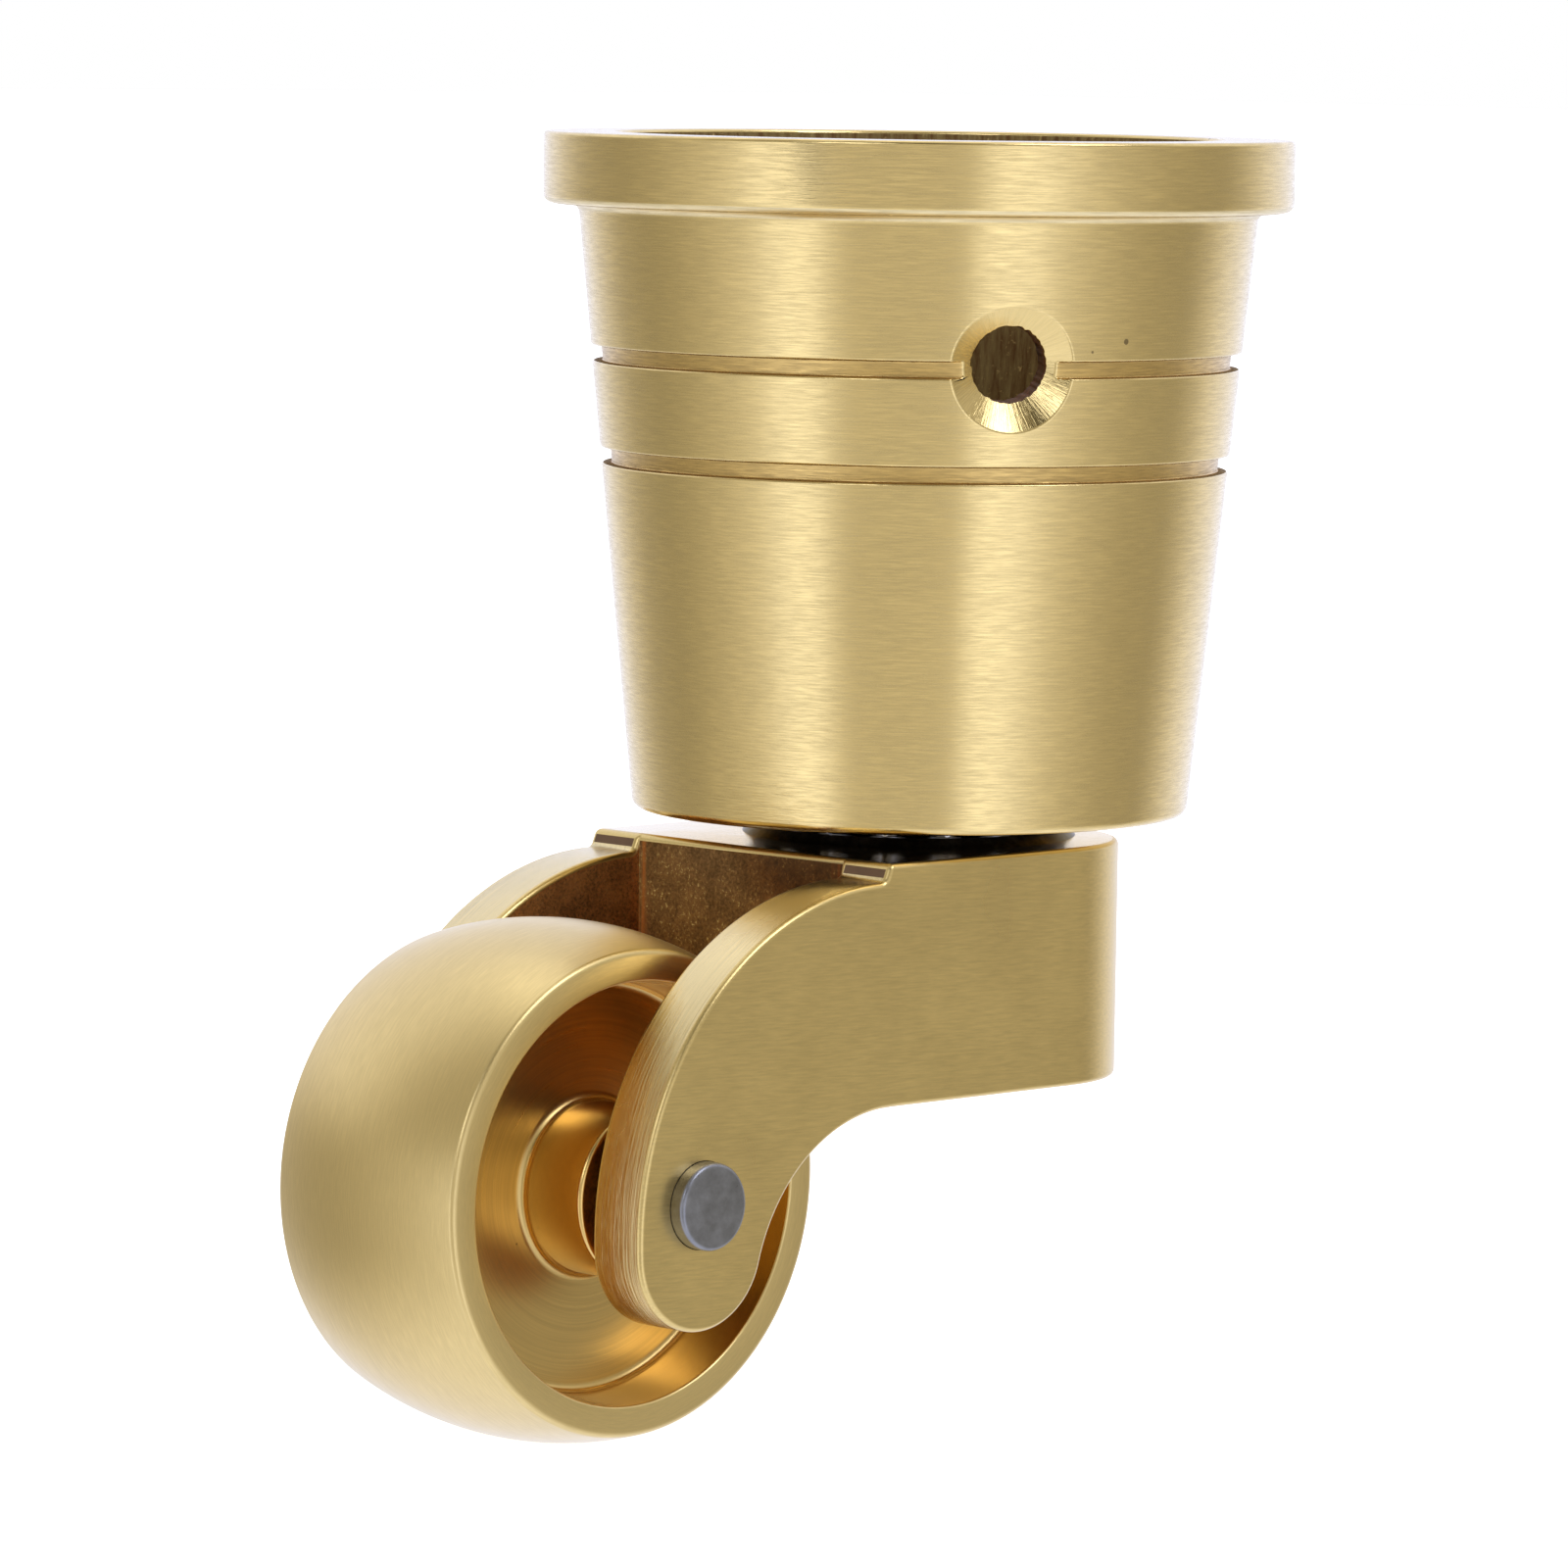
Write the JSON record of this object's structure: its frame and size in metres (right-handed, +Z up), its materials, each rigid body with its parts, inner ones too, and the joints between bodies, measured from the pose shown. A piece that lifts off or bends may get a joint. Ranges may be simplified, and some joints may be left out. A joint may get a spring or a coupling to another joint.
{
  "type": "swivel castor",
  "caption": "Brass swivel castor with a tapered screw-on cup for a round furniture leg, a ball bearing, a curved fork and a barrel-shaped wheel.",
  "frame": {"origin": "centre of the cup's mouth, in the plane of the rim's top", "axes": "+Z up the leg along the swivel axis; the wheel trails towards -X at rest; the axle lies along Y"},
  "size_m": [0.0695, 0.047, 0.0791],
  "materials": {
    "cup_brass": "satin, brushed round the cup",
    "horn_brass": "satin casting, lightly brushed",
    "wheel_brass": "satin, turned",
    "pin_steel": "satin",
    "race_black": "blackened, satin",
    "ball_steel": "polished"
  },
  "bodies": {
    "cup": {"cup_socket": "cup_brass", "upper_race": "race_black", "pin_washer": "pin_steel"},
    "ball_ring": {"bearing_ball_01": "ball_steel", "bearing_ball_02": "ball_steel", "bearing_ball_03": "ball_steel", "bearing_ball_04": "ball_steel", "bearing_ball_05": "ball_steel", "bearing_ball_06": "ball_steel", "bearing_ball_07": "ball_steel", "bearing_ball_08": "ball_steel", "bearing_ball_09": "ball_steel", "bearing_ball_10": "ball_steel", "bearing_ball_11": "ball_steel", "bearing_ball_12": "ball_steel", "bearing_ball_13": "ball_steel", "bearing_ball_14": "ball_steel", "bearing_ball_15": "ball_steel"},
    "swivel": {"horn": "horn_brass", "lower_race": "race_black", "swivel_pin": "pin_steel", "axle_pin": "pin_steel"},
    "wheel": {"wheel": "wheel_brass"}
  },
  "joints": [
    {"name": "swivel", "type": "hinge", "parent": "cup", "child": "swivel", "pos_m": [0, 0, -0.0438], "axis": [0, 0, 1], "continuous": true},
    {"name": "ball_roll", "type": "hinge", "parent": "cup", "child": "ball_ring", "pos_m": [0, 0, -0.04305], "axis": [0, 0, 1], "continuous": true},
    {"name": "wheel_spin", "type": "hinge", "parent": "swivel", "child": "wheel", "pos_m": [-0.0301, 0, -0.0632], "axis": [0, 1, 0], "continuous": true}
  ],
  "couplings": [
    {"joint": "ball_roll", "follows": "swivel", "ratio": 0.5}
  ]
}
